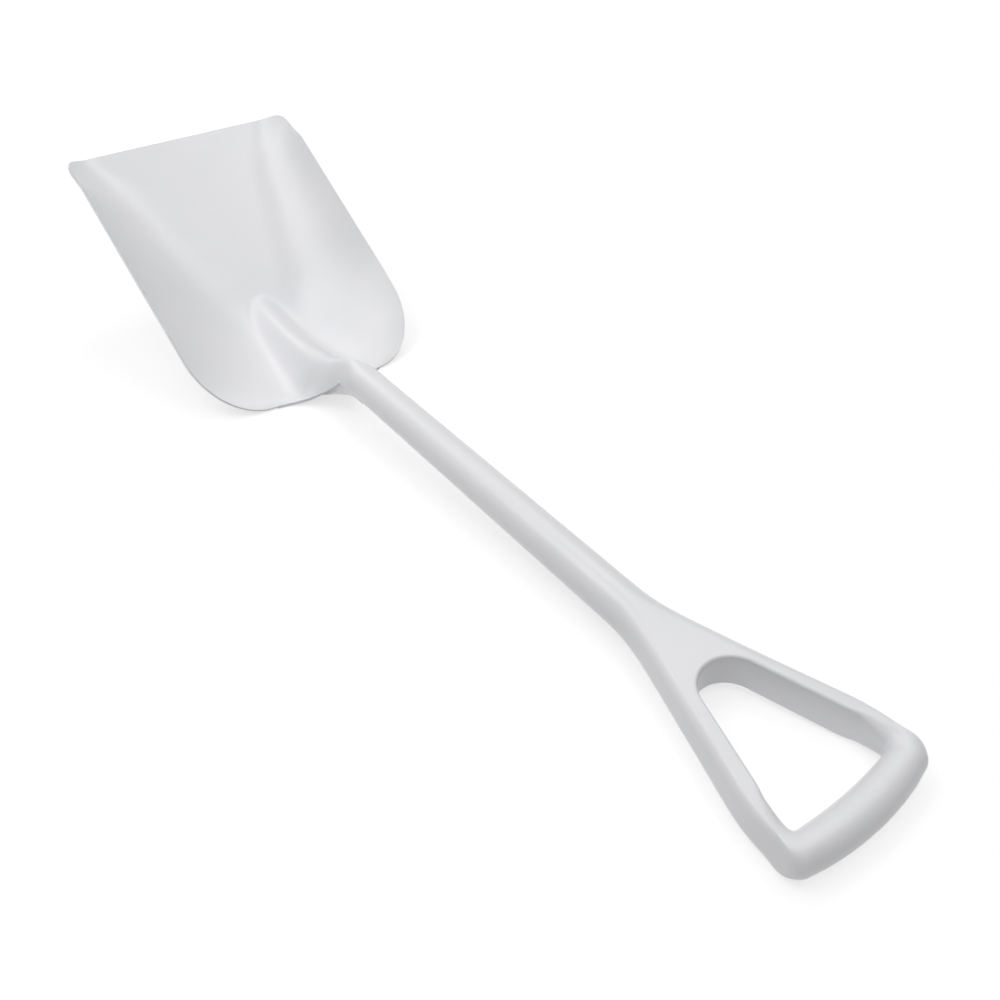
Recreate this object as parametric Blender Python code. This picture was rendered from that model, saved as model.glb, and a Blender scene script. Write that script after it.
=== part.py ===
"""Ice shovel with a deep scoop, a round shaft and a three-sided hand grip.

The shovel is modelled along its shaft: the origin is where the shaft's axis enters the scoop, +X runs to the
scoop's front edge, +Y to the user's left and +Z to the open side. At the end it is laid down on the scoop's
heel and the grip, as it rests on a floor.
"""

import math

import bmesh
import bpy
import numpy as np
from mathutils import Matrix, Vector

# General sizes, in metres
GAP = 0.0003
MERGE = 0.00001

# Shaft and the dowels in it
SHAFT_RADIUS_FRONT = 0.0175
SHAFT_RADIUS_BACK = 0.0182
SHAFT_WALL = 0.0032
SHAFT_LENGTH = 0.355
SLEEVE_LENGTH = 0.060
DOWEL_HOLD = 0.030
DOWEL_CHAMFER = 0.0015

# Scoop, along the shaft's axis and from above
SCOOP_REACH = 0.3915
SCOOP_WIDTH_FRONT = 0.271
SCOOP_WIDTH_BACK = 0.264
SCOOP_SKIN = 0.0030
TIP_RISE = 0.1275
FLOOR_SLOPE = math.radians(39.5)
FLOOR_FLAT_LENGTH = 0.1475
BOWL_DEPTH = 0.0525
BOWL_BOTTOM_X = 0.091
BOWL_CURVE = 2.6
REAR_EDGE_X = 0.054
REAR_LIP_RISE = 0.0015
REAR_CORNER_RADIUS = 0.067
FRONT_CORNER_LENGTH = 0.038
FRONT_CORNER_WIDTH = 0.036
FRONT_CORNER_BLEND = 0.150
SIDE_RIM_SLOPE = 0.59
SIDE_RIM_RISE = 0.0023
SIDE_RIM_DROP = 0.0065
REAR_RIM_SLOPE = 0.80
RIM_BEND_LENGTH = 0.030
WALL_FOOT_EDGE = 0.036
WALL_FOOT_FRONT = 0.065
WALL_FOOT_BACK = 0.143
WALL_EDGE_LENGTH = 0.046
WALL_CURVE = 2.05

# Ridge and neck
RIDGE_LOW = 0.0239
RIDGE_LOW_X = 0.1366
RIDGE_SAG_RADIUS = 0.32938
RIDGE_FALL_X = -0.0443
RIDGE_FALL_LENGTH = 0.0911
RIDGE_TIP_X = 0.2285
RIDGE_FOOT = 0.056
RIDGE_POINT = 0.30
RIDGE_FULLNESS = 3.2
RIDGE_BELL_LENGTH = 0.075
NECK_FULLNESS = 0.5
NECK_FOOT_SHARE = 0.32
NECK_SPREAD_LENGTH = 0.080
NECK_COLUMN_CURVE = 1.75
NECK_SWEEP_LENGTH = 0.060
NECK_SWEEP_FULLNESS = 1.7
NECK_EDGE_RISE = 0.037
NECK_EDGE_CURVE = 1.3
NECK_OPEN_X = -0.035
NECK_OPEN_LENGTH = 0.036
GUSSET_BACK_X = -0.044
GUSSET_LENGTH = 0.086
GUSSET_DROP = 0.0335
GUSSET_CURVE = 1.5
GUSSET_BACK_INSET = 0.0055
GUSSET_FRONT_INSET = 0.0010
GUSSET_EDGE = 0.0020
GUSSET_FULLNESS = 2.5

# Fork and hand grip
YOKE_ROOT_LENGTH = 0.0305
FLARE_RADIUS = 0.147
ARM_LENGTH = 0.1495
KNUCKLE_HALF_WIDTH = 0.0648
GRIP_HALF_WIDTH = 0.068
KNUCKLE_RADIUS = 0.130
GRIP_END_LENGTH = 0.0555
GRIP_CORNER_RADIUS = 0.011
GRIP_BOW = 0.009
HOLE_BACK = 0.0585
HOLE_APEX_RADIUS = 0.0265
HOLE_APEX_HALF_WIDTH = 0.0202
HOLE_KNUCKLE_BACK = 0.1515
HOLE_KNUCKLE_RADIUS = 0.020
HOLE_END_BACK = 0.174
HOLE_HALF_WIDTH = 0.0488
HOLE_CORNER_RADIUS = 0.003
HOLE_BOW = 0.003
ARM_HALF_THICKNESS = 0.016
ARM_OUTER_ROUND = 0.011
ARM_INNER_ROUND = 0.0025
GRIP_HALF_THICKNESS = 0.0152
GRIP_FLAT = 0.001
GRIP_SEAM_Y = 0.044
GRIP_DOWEL_RADIUS = 0.005
GRIP_DOWEL_SEAT = 0.010
WEB_LEAN = 0.021
WEB_FLATTENING = 0.055

# Mesh resolution
SCOOP_COLUMNS = 36
SHAFT_SIDES = 40
DOWEL_SIDES = 32
GUSSET_COLUMNS = 12
QUARTER_STEPS = 5
WEB_ROWS = 10
ARM_ROWS = 20
CORNER_ROWS = 5
GRIP_ROWS = 12
ARC_STEPS = 16

# Plastic of the mouldings and of the dowels
WHITE = (0.80, 0.80, 0.82, 1.0)
DOWEL_WHITE = (0.70, 0.71, 0.74, 1.0)
PLASTIC_ROUGHNESS = 0.38

# Places that follow from the sizes above
SLEEVE_END_X = -SLEEVE_LENGTH
YOKE_ROOT_X = SLEEVE_END_X - SHAFT_LENGTH
FLARE_X = YOKE_ROOT_X - YOKE_ROOT_LENGTH
KNUCKLE_X = FLARE_X - ARM_LENGTH
GRIP_END_X = KNUCKLE_X - GRIP_END_LENGTH
HOLE_APEX_X = FLARE_X - HOLE_BACK
HOLE_KNUCKLE_X = FLARE_X - HOLE_KNUCKLE_BACK
HOLE_END_X = FLARE_X - HOLE_END_BACK
FLOOR_END_X = SCOOP_REACH - FLOOR_FLAT_LENGTH
SIDE_START_X = REAR_EDGE_X + REAR_CORNER_RADIUS
SHAFT_BORE = SHAFT_RADIUS_FRONT - SHAFT_WALL
DOWEL_RADIUS = SHAFT_RADIUS_FRONT - max(SHAFT_WALL, SCOOP_SKIN) - GAP


def clear_scene():
    for old in list(bpy.data.objects):
        bpy.data.objects.remove(old, do_unlink=True)


def plastic(name, colour):
    """A smooth, softly glossy moulded plastic."""
    material = bpy.data.materials.new(name)
    material.use_nodes = True
    shader = material.node_tree.nodes["Principled BSDF"]
    shader.inputs["Base Color"].default_value = colour
    shader.inputs["Roughness"].default_value = PLASTIC_ROUGHNESS
    shader.inputs["Metallic"].default_value = 0.0
    return material


def ease(value):
    """Zero up to 0, one from 1 on, and a smooth step between."""
    value = np.clip(value, 0.0, 1.0)
    return value * value * (3.0 - 2.0 * value)


def blend(start, end, share):
    return start + (end - start) * share


def object_from(name, build, colour=WHITE):
    """A new object whose mesh the given function fills through bmesh."""
    mesh = bpy.data.meshes.new(name)
    shape = bmesh.new()
    build(shape)
    bmesh.ops.remove_doubles(shape, verts=shape.verts, dist=MERGE)
    bmesh.ops.recalc_face_normals(shape, faces=shape.faces)
    shape.to_mesh(mesh)
    shape.free()
    mesh.shade_smooth()
    mesh.set_sharp_from_angle(angle=math.radians(35.0))
    mesh.materials.append(plastic(name, colour))
    made = bpy.data.objects.new(name, mesh)
    bpy.context.scene.collection.objects.link(made)
    return made


def cut(target, helper):
    """Takes the helper's solid out of the target; the helper itself stays hidden."""
    helper.hide_render = True
    helper.display_type = "WIRE"
    boolean = target.modifiers.new(helper.name, "BOOLEAN")
    boolean.operation = "DIFFERENCE"
    boolean.solver = "EXACT"
    boolean.object = helper


def round_bar(start, end, radius, end_radius=None, sides=SHAFT_SIDES):
    """A builder of a round bar, or of a cone, between two points."""

    def build(shape):
        first = Vector(start)
        last = Vector(end)
        turn = Vector((0.0, 0.0, 1.0)).rotation_difference(last - first).to_matrix().to_4x4()
        bmesh.ops.create_cone(
            shape,
            cap_ends=True,
            segments=sides,
            radius1=radius,
            radius2=radius if end_radius is None else end_radius,
            depth=(last - first).length,
            matrix=Matrix.Translation((first + last) / 2) @ turn,
        )

    return build


def lattice(shape, points, closed_across=False):
    """Quads between the rows of a table of points; the rows' vertices are returned."""
    rows = [[shape.verts.new(point) for point in row] for row in points]
    columns = len(rows[0])
    for low, high in zip(rows, rows[1:]):
        for i in range(columns if closed_across else columns - 1):
            j = (i + 1) % columns
            shape.faces.new((low[i], high[i], high[j], low[j]))
    return rows


# Scoop


def floor_height(x):
    """Height of the scoop's floor on the middle line: a straight slope in front and a bowl behind it."""
    slope = TIP_RISE - math.tan(FLOOR_SLOPE) * (SCOOP_REACH - x)
    bowl_front = TIP_RISE - math.tan(FLOOR_SLOPE) * FLOOR_FLAT_LENGTH
    along = np.clip((x - BOWL_BOTTOM_X) / (FLOOR_END_X - BOWL_BOTTOM_X), 0.0, 1.0)
    lip = np.clip((BOWL_BOTTOM_X - x) / (BOWL_BOTTOM_X - REAR_EDGE_X), 0.0, 1.0)
    bowl = -BOWL_DEPTH + (bowl_front + BOWL_DEPTH) * along**BOWL_CURVE + REAR_LIP_RISE * lip**2
    return np.where(x > FLOOR_END_X, slope, bowl)


def rim_height(x):
    """Height of the rim: straight along the sides, bending steeper at the rear corners, up again to the neck."""
    front = SIDE_RIM_DROP * ease((x - SCOOP_REACH + 2 * FRONT_CORNER_LENGTH) / FRONT_CORNER_LENGTH)
    ahead = np.maximum(x, REAR_EDGE_X) - SIDE_START_X
    bend = np.clip(RIM_BEND_LENGTH - ahead, 0.0, None) ** 2 / (4 * RIM_BEND_LENGTH)
    bend = np.where(ahead < -RIM_BEND_LENGTH, -ahead, bend)
    swept = np.clip((REAR_EDGE_X - x) / NECK_SWEEP_LENGTH, 0.0, 1.0)
    neck = NECK_EDGE_RISE * swept**NECK_EDGE_CURVE
    side = SIDE_RIM_RISE + SIDE_RIM_SLOPE * ahead
    return side - (REAR_RIM_SLOPE - SIDE_RIM_SLOPE) * bend - front + neck


def half_width(x):
    """Half of the scoop's width: full along the sides, an arc at the rear corners, then a sweep to the shaft."""
    widening = np.clip((x - SIDE_START_X) / (SCOOP_REACH - SIDE_START_X), 0.0, 1.0)
    full = blend(SCOOP_WIDTH_BACK, SCOOP_WIDTH_FRONT, widening) / 2
    inner = SCOOP_WIDTH_BACK / 2 - REAR_CORNER_RADIUS
    corner = np.clip((SIDE_START_X - x) / REAR_CORNER_RADIUS, 0.0, 1.0)
    swept = np.clip((REAR_EDGE_X - x) / NECK_SWEEP_LENGTH, 0.0, 1.0)
    arc = full - REAR_CORNER_RADIUS * (1.0 - np.sqrt(1.0 - corner**2))
    drawn_in = (1.0 - (1.0 - swept) ** NECK_SWEEP_FULLNESS) ** (1.0 / NECK_SWEEP_FULLNESS)
    sweep = inner - (inner - SHAFT_RADIUS_FRONT) * drawn_in
    return np.where(x > REAR_EDGE_X, arc, sweep)


def crest_height(x):
    """Height of the ridge's crest: level with the shaft's top at the neck, then a shallow sag to the floor."""
    sag = -RIDGE_LOW + (x - RIDGE_LOW_X) ** 2 / (2 * RIDGE_SAG_RADIUS)
    return sag + (SHAFT_RADIUS_FRONT - sag) * (1.0 - ease((x - RIDGE_FALL_X) / RIDGE_FALL_LENGTH))


def pan_height(x, y):
    """Height of the scoop's inner face: floor, walls that curve up to the rim, and the ridge.

    Across the scoop the ridge is an arch as round as the shaft at the neck. It turns into a wider bell towards
    its tip, and where the scoop is narrower than the ridge, the flank ends on the rim.
    """
    width = half_width(x)
    along = ease((x - SIDE_START_X) / (SCOOP_REACH - SIDE_START_X))
    at_edge = ease((x - SCOOP_REACH + WALL_EDGE_LENGTH) / WALL_EDGE_LENGTH)
    foot = blend(blend(WALL_FOOT_BACK, WALL_FOOT_FRONT, along), WALL_FOOT_EDGE, at_edge)
    wall = np.clip(1.0 - (width - np.abs(y)) / foot, 0.0, 1.0)
    pan = floor_height(x) + (rim_height(x) - floor_height(x)) * wall**WALL_CURVE
    behind_tip = np.clip((RIDGE_TIP_X - x) / (RIDGE_TIP_X - REAR_EDGE_X), 0.001, None)
    before_neck = x - REAR_EDGE_X + NECK_SWEEP_LENGTH
    spreading = blend(NECK_FOOT_SHARE, 1.0, ease(before_neck / NECK_SPREAD_LENGTH))
    ridge_foot = RIDGE_FOOT * behind_tip**RIDGE_POINT * spreading
    fullness = blend(NECK_FULLNESS, RIDGE_FULLNESS, ease(before_neck / RIDGE_BELL_LENGTH))
    fallen = flank_fall(np.abs(y) / ridge_foot, fullness)
    at_rim = flank_fall(width / ridge_foot, fullness)
    return pan + np.maximum(crest_height(x) - pan, 0.0) * (1.0 - fallen / at_rim)


def flank_fall(share, fullness):
    """How far a flank of the ridge has come down, from 0 on the crest to 1 at its foot."""
    return 1.0 - np.maximum(np.cos(np.minimum(share, 1.0) * math.pi / 2), 0.0) ** fullness


def scoop_stations():
    """Places along X of the scoop's rows, close together where its outline turns quickly."""
    turn = np.linspace(0.0, math.pi / 2, 9)
    sleeve = np.linspace(SLEEVE_END_X, NECK_OPEN_X, 3)
    sweep_start = REAR_EDGE_X - NECK_SWEEP_LENGTH
    sweep = REAR_EDGE_X - NECK_SWEEP_LENGTH * (1.0 - np.cos(turn[::-1]) ** (2 / NECK_SWEEP_FULLNESS))
    corner = SIDE_START_X - REAR_CORNER_RADIUS * np.cos(turn[1:])
    bowl = np.linspace(SIDE_START_X, FLOOR_END_X, 9)[1:]
    front = np.linspace(FLOOR_END_X, SCOOP_REACH, 8)[1:]
    opening = np.linspace(NECK_OPEN_X, sweep_start, 6)[1:-1]
    return np.concatenate([sleeve, opening, sweep, corner, bowl, front])


def scoop_skin(shape):
    """The scoop's upper face: a sleeve round the shaft's axis that opens below and spreads into the pan."""
    even = np.linspace(-1.0, 1.0, SCOOP_COLUMNS + 1)
    across = 0.6 * even + 0.4 * even**3
    round_neck = np.sin(math.pi / 2 * (1.0 - (1.0 - np.abs(even)) ** NECK_COLUMN_CURVE)) * np.sign(even)
    beyond = (np.abs(across) - 1.0) * SCOOP_WIDTH_FRONT / 2 + FRONT_CORNER_WIDTH
    corner = np.clip(beyond / FRONT_CORNER_WIDTH, 0.0, 1.0)
    setback = FRONT_CORNER_LENGTH * (1.0 - np.sqrt(1.0 - corner**2))
    ring_y = SHAFT_RADIUS_FRONT * np.sin(even * math.pi)
    ring_z = SHAFT_RADIUS_FRONT * np.cos(even * math.pi)
    rows = []
    for station in scoop_stations():
        x = station - setback * ease(1.0 - (SCOOP_REACH - station) / FRONT_CORNER_BLEND)
        past_neck = ease((x - REAR_EDGE_X + NECK_SWEEP_LENGTH) / NECK_SPREAD_LENGTH)
        y = blend(round_neck, across, past_neck) * half_width(x)
        z = pan_height(x, y)
        opened = ease((station - NECK_OPEN_X) / NECK_OPEN_LENGTH)
        rows.append(np.stack([x, ring_y + (y - ring_y) * opened, ring_z + (z - ring_z) * opened], axis=1))
    lattice(shape, rows)


def scoop_blade():
    """The scoop's skin made solid below its upper face."""
    skin = object_from("scoop_blade", scoop_skin)
    shape = bmesh.new()
    shape.from_mesh(skin.data)
    front_face = max(shape.faces, key=lambda face: face.calc_center_median().x)
    if front_face.normal.z < 0:
        bmesh.ops.reverse_faces(shape, faces=shape.faces)
    shape.to_mesh(skin.data)
    shape.free()
    solid = skin.modifiers.new("Thickness", "SOLIDIFY")
    solid.thickness = SCOOP_SKIN
    solid.offset = -1.0
    solid.use_even_offset = True
    return skin


def neck_gusset():
    """The keel that is set close under the sleeve and closes the slot where the sleeve opens."""

    def keel(shape):
        front = GUSSET_BACK_X + GUSSET_LENGTH
        rows_x = [station for station in scoop_stations() if GUSSET_BACK_X < station < front]
        x = np.array([GUSSET_BACK_X, *rows_x, front])[:, None]
        share = (x - GUSSET_BACK_X) / GUSSET_LENGTH
        side = np.linspace(-1.0, 1.0, GUSSET_COLUMNS + 1)[None, :]
        half = SHAFT_RADIUS_FRONT - blend(GUSSET_BACK_INSET, GUSSET_FRONT_INSET, share)
        opened = ease((x - NECK_OPEN_X) / NECK_OPEN_LENGTH)
        sleeve = -np.sqrt(SHAFT_RADIUS_FRONT**2 - (half * side) ** 2)
        under = SCOOP_SKIN * np.minimum(2.0 * opened, 1.0)
        top = blend(sleeve, rim_height(x), opened) - under - GAP
        edge = top[:, :1] - GUSSET_EDGE
        keel_line = -SHAFT_RADIUS_FRONT - GUSSET_EDGE - GUSSET_DROP * share**GUSSET_CURVE
        bottom = blend(edge, keel_line, 1.0 - np.abs(side) ** GUSSET_FULLNESS)
        ring_y = np.concatenate([half * side, (half * side)[:, ::-1]], axis=1)
        ring_z = np.concatenate([top, bottom[:, ::-1]], axis=1)
        rows = lattice(shape, np.stack([x + 0.0 * ring_y, ring_y, ring_z], axis=2), closed_across=True)
        shape.faces.new(rows[0])
        shape.faces.new(rows[-1])

    return object_from("neck_gusset", keel)


# Shaft and dowels


def shaft_tube():
    front = SLEEVE_END_X - GAP
    back = YOKE_ROOT_X + GAP
    tube = object_from(
        "shaft_tube",
        round_bar((front, 0.0, 0.0), (back, 0.0, 0.0), SHAFT_RADIUS_FRONT, SHAFT_RADIUS_BACK),
    )
    bore = round_bar((front + SHAFT_WALL, 0.0, 0.0), (back - SHAFT_WALL, 0.0, 0.0), SHAFT_BORE)
    cut(tube, object_from("shaft_bore", bore))
    return tube


def shaft_dowel(name, front, back):
    """A round dowel on the shaft's axis with both ends chamfered."""
    bar = round_bar((front, 0.0, 0.0), (back, 0.0, 0.0), DOWEL_RADIUS, sides=DOWEL_SIDES)
    dowel = object_from(name, bar, DOWEL_WHITE)
    chamfer = dowel.modifiers.new("Chamfer", "BEVEL")
    chamfer.width = DOWEL_CHAMFER
    chamfer.segments = 1
    chamfer.limit_method = "ANGLE"
    return dowel


def neck_dowel():
    return shaft_dowel("neck_dowel", NECK_OPEN_X - GAP, SLEEVE_END_X - DOWEL_HOLD)


def yoke_dowel():
    return shaft_dowel("yoke_dowel", YOKE_ROOT_X + DOWEL_HOLD, YOKE_ROOT_X - DOWEL_HOLD)


# Fork and hand grip


def rounded_path(points, radii):
    """The path through the points with each inner corner replaced by an arc of its radius."""
    path = [Vector(points[0])]
    for before, corner, after, radius in zip(points, points[1:], points[2:], radii):
        corner = Vector(corner)
        to_before = (Vector(before) - corner).normalized()
        to_after = (Vector(after) - corner).normalized()
        half = to_before.angle(to_after) / 2
        middle = corner + (to_before + to_after).normalized() * radius / math.sin(half)
        first = corner + to_before * radius / math.tan(half) - middle
        last = corner + to_after * radius / math.tan(half) - middle
        turn = math.atan2(first.x * last.y - first.y * last.x, first.dot(last))
        for step in range(ARC_STEPS + 1):
            angle = turn * step / ARC_STEPS
            spin = Matrix.Rotation(angle, 2)
            path.append(middle + spin @ first)
    path.append(Vector(points[-1]))
    return np.array(path)


def spread(path, count):
    """Points at even distances along the path."""
    along = np.concatenate([[0.0], np.cumsum(np.linalg.norm(np.diff(path, axis=0), axis=1))])
    wanted = np.linspace(0.0, along[-1], count)
    return np.stack([np.interp(wanted, along, path[:, 0]), np.interp(wanted, along, path[:, 1])], axis=1)


def grip_outer_x(y):
    """The bowed outer edge of the hand grip."""
    return GRIP_END_X + GRIP_BOW * (y / GRIP_HALF_WIDTH) ** 2


def grip_inner_x(y):
    """The hand hole's edge along the hand grip."""
    return HOLE_END_X - HOLE_BOW * (1.0 - (y / HOLE_HALF_WIDTH) ** 2)


def split_at(path, place):
    """The two halves of a path, parted at its point nearest to the place."""
    nearest = int(np.argmin(np.linalg.norm(path - np.array(place), axis=1)))
    return path[: nearest + 1], path[nearest:]


def yoke_outline():
    """Matched points of the fork's outer edge, split into those of the web and those of one arm."""
    corner_x = grip_outer_x(GRIP_HALF_WIDTH)
    path = rounded_path(
        [
            (YOKE_ROOT_X - GAP, SHAFT_RADIUS_BACK),
            (FLARE_X, SHAFT_RADIUS_BACK),
            (KNUCKLE_X, KNUCKLE_HALF_WIDTH),
            (corner_x, GRIP_HALF_WIDTH),
            (grip_outer_x(GRIP_SEAM_Y), GRIP_SEAM_Y),
        ],
        [FLARE_RADIUS, KNUCKLE_RADIUS, GRIP_CORNER_RADIUS],
    )
    to_corner, after_corner = split_at(path, (corner_x, GRIP_HALF_WIDTH))
    lean_x = HOLE_APEX_X + WEB_LEAN
    lean_y = np.interp(-lean_x, -to_corner[:, 0], to_corner[:, 1])
    dense = spread(to_corner, 20 * ARM_ROWS)
    web, arm = split_at(dense, (lean_x, lean_y))
    outer_arm = np.concatenate([spread(arm, ARM_ROWS), spread(after_corner, CORNER_ROWS + 1)[1:]])
    return spread(web, WEB_ROWS), outer_arm


def hole_outline():
    """Points of the hand hole's edge from its apex to the seam, matched to those of the arm's outer edge."""
    path = rounded_path(
        [
            (HOLE_APEX_X, 0.0),
            (HOLE_APEX_X, HOLE_APEX_HALF_WIDTH),
            (HOLE_KNUCKLE_X, HOLE_HALF_WIDTH),
            (HOLE_END_X, HOLE_HALF_WIDTH),
            (grip_inner_x(GRIP_SEAM_Y), GRIP_SEAM_Y),
        ],
        [HOLE_APEX_RADIUS, HOLE_KNUCKLE_RADIUS, HOLE_CORNER_RADIUS],
    )
    to_corner, after_corner = split_at(path, (HOLE_END_X, HOLE_HALF_WIDTH))
    return np.concatenate([spread(to_corner, ARM_ROWS), spread(after_corner, CORNER_ROWS + 1)[1:]])


def quarter(edge, inward, depth, height, thickness):
    """A rounded edge: from the side's straight part up a quarter ellipse to the top face, for each row."""
    angle = np.linspace(0.0, math.pi / 2, QUARTER_STEPS + 1)[None, :]
    place = edge[:, None, :] + inward[:, None, :] * (depth[:, None] * (1.0 - np.cos(angle)))[..., None]
    rise = thickness[:, None] - height[:, None] * (1.0 - np.sin(angle))
    return np.concatenate([place, rise[..., None]], axis=2)


def unit(vectors):
    return vectors / np.linalg.norm(vectors, axis=1, keepdims=True)


def arm_rows():
    """The top half of the sections of one arm, from the hole's apex round the corner to the seam."""
    outer = yoke_outline()[1]
    inner = hole_outline()
    share = np.concatenate([np.linspace(0.0, 1.0, ARM_ROWS), np.full(CORNER_ROWS, 1.0)])
    rounded = ease((share - 0.75) / 0.25)
    along = np.gradient(inner, axis=0)
    away = unit(np.stack([-along[:, 1], along[:, 0]], axis=1)) * -1.0
    away[0] = (1.0, 0.0)
    away[-1] = unit(outer[-1:] - inner[-1:])[0]
    full_round = (np.linalg.norm(outer - inner, axis=1) - GRIP_FLAT) / 2
    thickness = blend(ARM_HALF_THICKNESS, GRIP_HALF_THICKNESS, rounded)
    inner_depth = blend(ARM_INNER_ROUND, full_round, rounded)
    inner_height = blend(ARM_INNER_ROUND, GRIP_HALF_THICKNESS, rounded)
    outer_depth = blend(ARM_OUTER_ROUND, full_round, rounded)
    outer_height = blend(ARM_OUTER_ROUND, GRIP_HALF_THICKNESS, rounded)
    inner_top = inner + away * inner_depth[:, None]
    outer_side = quarter(outer, unit(inner_top - outer), outer_depth, outer_height, thickness)
    inner_side = quarter(inner, away, inner_depth, inner_height, thickness)
    return np.concatenate([outer_side, inner_side[:, ::-1]], axis=1)


def web_rows():
    """The top half of the sections from the round root to the apex of the hand hole, out to the middle line."""
    outer = yoke_outline()[0]
    middle_x = np.linspace(YOKE_ROOT_X - GAP, HOLE_APEX_X + ARM_INNER_ROUND, WEB_ROWS)
    flat = ease((YOKE_ROOT_X - middle_x) / WEB_FLATTENING)
    middle = np.stack([middle_x, np.zeros(WEB_ROWS)], axis=1)
    thickness = blend(SHAFT_RADIUS_BACK, ARM_HALF_THICKNESS, flat)
    edge_round = blend(SHAFT_RADIUS_BACK, ARM_OUTER_ROUND, flat)
    outer_side = quarter(outer, unit(middle - outer), edge_round, edge_round, thickness)
    crown = np.concatenate([middle, thickness[:, None]], axis=1)[:, None, :]
    return np.concatenate([outer_side, crown], axis=1)


def grip_yoke():
    """The fork: one flat web that splits into two arms, with sockets for the dowels."""

    def fork(shape):
        web = web_rows()
        arm = arm_rows()
        for side in (1.0, -1.0):
            over = np.array([1.0, side, 1.0])
            under = np.array([1.0, side, -1.0])
            lattice(shape, web * over)
            lattice(shape, web * under)
            lattice(shape, np.stack([web[:, 0] * over, web[:, 0] * under], axis=1))
            ring = np.concatenate([arm * over, (arm * under)[:, ::-1]], axis=1)
            rows = lattice(shape, ring, closed_across=True)
            shape.faces.new(rows[-1])
        root = web[0]
        rim = np.concatenate([root, root[::-1] * (1, -1, 1), root * (1, -1, -1), root[::-1] * (1, 1, -1)])
        shape.faces.new([shape.verts.new(point) for point in rim])

    yoke = object_from("grip_yoke", fork)
    socket = round_bar(
        (YOKE_ROOT_X + DOWEL_HOLD, 0.0, 0.0),
        (YOKE_ROOT_X - DOWEL_HOLD - GAP, 0.0, 0.0),
        DOWEL_RADIUS + GAP,
        sides=DOWEL_SIDES,
    )
    cut(yoke, object_from("yoke_socket", socket))
    reach = GRIP_SEAM_Y + GRIP_DOWEL_SEAT + GAP
    cut(yoke, object_from("grip_sockets", grip_rod(reach, GRIP_DOWEL_RADIUS + GAP)))
    return yoke


def grip_rod(half_length, radius):
    """A builder of a round rod along the hand grip."""
    inside = (grip_outer_x(0.0) + grip_inner_x(0.0)) / 2
    at_seam = (grip_outer_x(GRIP_SEAM_Y) + grip_inner_x(GRIP_SEAM_Y)) / 2
    x = (inside + at_seam) / 2
    return round_bar((x, -half_length, 0.0), (x, half_length, 0.0), radius, sides=DOWEL_SIDES)


def hand_grip():
    """The bowed cross bar between the arms, bored for its dowel."""

    def bar(shape):
        y = np.linspace(-1.0, 1.0, GRIP_ROWS + 1) * (GRIP_SEAM_Y - GAP)
        outer = np.stack([grip_outer_x(y), y], axis=1)
        inner = np.stack([grip_inner_x(y), y], axis=1)
        across = unit(inner - outer)
        depth = (np.linalg.norm(outer - inner, axis=1) - GRIP_FLAT) / 2
        height = np.full(len(y), GRIP_HALF_THICKNESS)
        outer_side = quarter(outer, across, depth, height, height)
        inner_side = quarter(inner, -across, depth, height, height)
        top = np.concatenate([outer_side, inner_side[:, ::-1]], axis=1)
        ring = np.concatenate([top, (top * (1, 1, -1))[:, ::-1]], axis=1)
        rows = lattice(shape, ring, closed_across=True)
        shape.faces.new(rows[0])
        shape.faces.new(rows[-1])

    grip = object_from("hand_grip", bar)
    bore = grip_rod(GRIP_SEAM_Y + GRIP_DOWEL_SEAT, GRIP_DOWEL_RADIUS + GAP)
    cut(grip, object_from("grip_bore", bore))
    return grip


def grip_dowel():
    return object_from(
        "grip_dowel", grip_rod(GRIP_SEAM_Y + GRIP_DOWEL_SEAT, GRIP_DOWEL_RADIUS), DOWEL_WHITE
    )


# Resting place


def solid_points(piece, depsgraph):
    """The vertices of a piece as its modifiers leave it."""
    mesh = piece.evaluated_get(depsgraph).to_mesh()
    points = np.array([vertex.co[:] for vertex in mesh.vertices])
    piece.evaluated_get(depsgraph).to_mesh_clear()
    return points


def turned(points, angle):
    """Points turned about Y so that +X comes up by the angle."""
    x = points[:, 0] * math.cos(angle) - points[:, 2] * math.sin(angle)
    z = points[:, 0] * math.sin(angle) + points[:, 2] * math.cos(angle)
    return np.stack([x, points[:, 1], z], axis=1)


def resting_angle(heel, grip):
    """The tilt at which the scoop's heel and the grip touch the same floor, found by halving."""
    low = 0.0
    high = math.radians(20.0)
    for _ in range(40):
        angle = (low + high) / 2
        if turned(heel, angle)[:, 2].min() < turned(grip, angle)[:, 2].min():
            low = angle
        else:
            high = angle
    return (low + high) / 2


def lay_down(scoop, yoke, grip):
    """Lays the whole shovel on the floor with its middle over the origin."""
    bpy.context.view_layer.update()
    depsgraph = bpy.context.evaluated_depsgraph_get()
    heel = solid_points(scoop, depsgraph)
    hand = np.concatenate([solid_points(yoke, depsgraph), solid_points(grip, depsgraph)])
    angle = resting_angle(heel, hand)
    everything = turned(np.concatenate([heel, hand]), angle)
    frame = bpy.data.objects.new("resting_frame", None)
    for piece in bpy.data.objects:
        if piece is not frame:
            piece.parent = frame
    bpy.context.scene.collection.objects.link(frame)
    frame.rotation_euler = (0.0, -angle, 0.0)
    frame.location = (
        -(everything[:, 0].min() + everything[:, 0].max()) / 2,
        0.0,
        -everything[:, 2].min(),
    )
    bpy.context.view_layer.update()


def main():
    clear_scene()
    scoop = scoop_blade()
    neck_gusset()
    shaft_tube()
    neck_dowel()
    yoke = grip_yoke()
    yoke_dowel()
    grip = hand_grip()
    grip_dowel()
    lay_down(scoop, yoke, grip)


main()
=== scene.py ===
"""Visual model of a white plastic ice shovel, laid out as an add-on and run as a script.

The shapes are written along the shovel's own axes: the origin is where the shaft's axis enters the scoop, +X runs to
the scoop's front edge, +Y to the user's left and +Z to the open side. Each finished mesh is then turned into the
packed model's frame, in which the shovel rests on the floor.
"""

import math

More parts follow.
